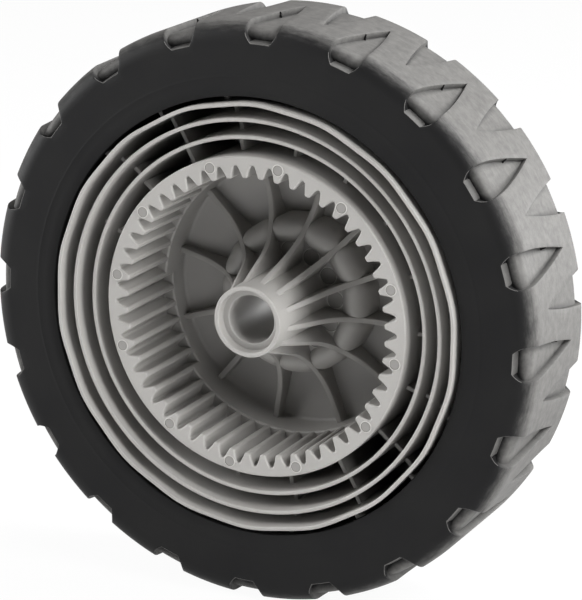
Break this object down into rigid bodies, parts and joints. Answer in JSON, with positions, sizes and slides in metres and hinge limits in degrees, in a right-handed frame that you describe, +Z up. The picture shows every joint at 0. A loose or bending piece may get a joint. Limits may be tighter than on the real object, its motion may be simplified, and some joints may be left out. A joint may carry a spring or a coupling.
{
  "type": "lawn mower wheel",
  "caption": "Lawn mower drive wheel: black rubber tyre with leaf-shaped tread pockets on a light grey moulded rim with internal ring gear, ribbed hub and rings.",
  "frame": {"origin": "on the axle line, halfway across the tyre's width", "axes": "+Y along the axle from the gear side towards the outer side, +Z up"},
  "size_m": [0.21, 0.0554, 0.21],
  "materials": {
    "rim": "satin",
    "tyre": "matte"
  },
  "bodies": {
    "root": {"rim": "rim", "tyre": "tyre"}
  },
  "joints": []
}
